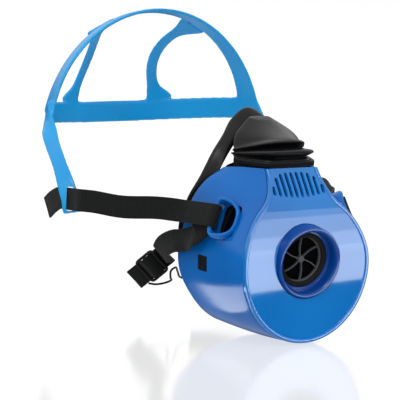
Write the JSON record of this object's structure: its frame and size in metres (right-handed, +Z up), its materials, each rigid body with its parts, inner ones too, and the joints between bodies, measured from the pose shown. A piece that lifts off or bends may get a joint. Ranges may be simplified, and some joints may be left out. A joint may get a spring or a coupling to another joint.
{
  "type": "half-mask respirator",
  "caption": "Half-mask respirator: rubber facepiece in a rounded plastic body with one round-thread filter connector, a strapped head cradle and a hooked neck strap.",
  "frame": {"origin": "centre of the face seal, in the middle of the facepiece's open rear side, level with the wearer's mouth", "axes": "+X towards the wearer's left, +Y towards the wearer (the connector faces -Y), +Z up"},
  "size_m": [0.2124, 0.2808, 0.205],
  "materials": {
    "body_plastic": "smooth sky-blue nylon, satin",
    "cover_plastic": "smooth blue nylon, satin",
    "inner_plastic": "dark blue moulded plastic",
    "valve_plastic": "light grey moulded plastic",
    "valve_rubber": "thin black silicone",
    "gasket_rubber": "dark olive rubber",
    "facepiece_rubber": "soft satin black rubber",
    "harness_plastic": "flexible blue plastic, satin",
    "guide_plastic": "blue nylon, satin",
    "webbing": "black woven elastic webbing",
    "buckle_plastic": "black nylon",
    "hook_wire": "blackened steel wire"
  },
  "bodies": {
    "mask": {"front_cover": "cover_plastic", "housing": "body_plastic", "connector_collar": "cover_plastic", "connector_gasket": "gasket_rubber", "inhalation_valve_seat": "valve_plastic", "carrier_plate": "inner_plastic", "exhalation_valve_seat": "valve_plastic", "facepiece": "facepiece_rubber", "clamp_ring": "inner_plastic", "strap_guide_left": "guide_plastic", "strap_guide_right": "guide_plastic", "strap_wrap_left": "webbing", "strap_wrap_right": "webbing"},
    "upper_straps": {"upper_strap_left": "webbing", "upper_strap_right": "webbing"},
    "cradle": {"head_harness": "harness_plastic"},
    "neck_strap": {"neck_strap_left": "webbing", "neck_strap_right": "webbing", "neck_buckle": "buckle_plastic", "neck_hook": "hook_wire"},
    "inhalation_flap": {"inhalation_valve_flap": "valve_rubber"},
    "exhalation_flap": {"exhalation_valve_flap": "valve_rubber"},
    "left_latch": {"latch_left": "inner_plastic"},
    "right_latch": {"latch_right": "inner_plastic"}
  },
  "joints": [
    {"name": "harness_swing", "type": "hinge", "parent": "mask", "child": "upper_straps", "pos_m": [0, -0.03557, 0.00848], "axis": [1, 0, 0], "range_deg": [-18, 18]},
    {"name": "cradle_slide", "type": "slide", "parent": "upper_straps", "child": "cradle", "axis": [0, 0.996, -0.0896], "range_m": [-0.008, 0.012]},
    {"name": "neck_strap_swing", "type": "hinge", "parent": "mask", "child": "neck_strap", "pos_m": [0, -0.03958, -0.00331], "axis": [1, 0, 0], "range_deg": [-18, 18]},
    {"name": "inhalation_flap_lift", "type": "slide", "parent": "mask", "child": "inhalation_flap", "axis": [0, 0.9954, 0.0958], "range_m": [0, 0.0014], "stiffness_N_per_m": 15},
    {"name": "exhalation_flap_lift", "type": "slide", "parent": "mask", "child": "exhalation_flap", "axis": [0, -1, 0], "range_m": [0, 0.0014], "stiffness_N_per_m": 15},
    {"name": "latch_left_press", "type": "slide", "parent": "mask", "child": "left_latch", "axis": [-1, 0, 0], "range_m": [0, 0.0012], "stiffness_N_per_m": 800},
    {"name": "latch_right_press", "type": "slide", "parent": "mask", "child": "right_latch", "axis": [1, 0, 0], "range_m": [0, 0.0012], "stiffness_N_per_m": 800}
  ]
}
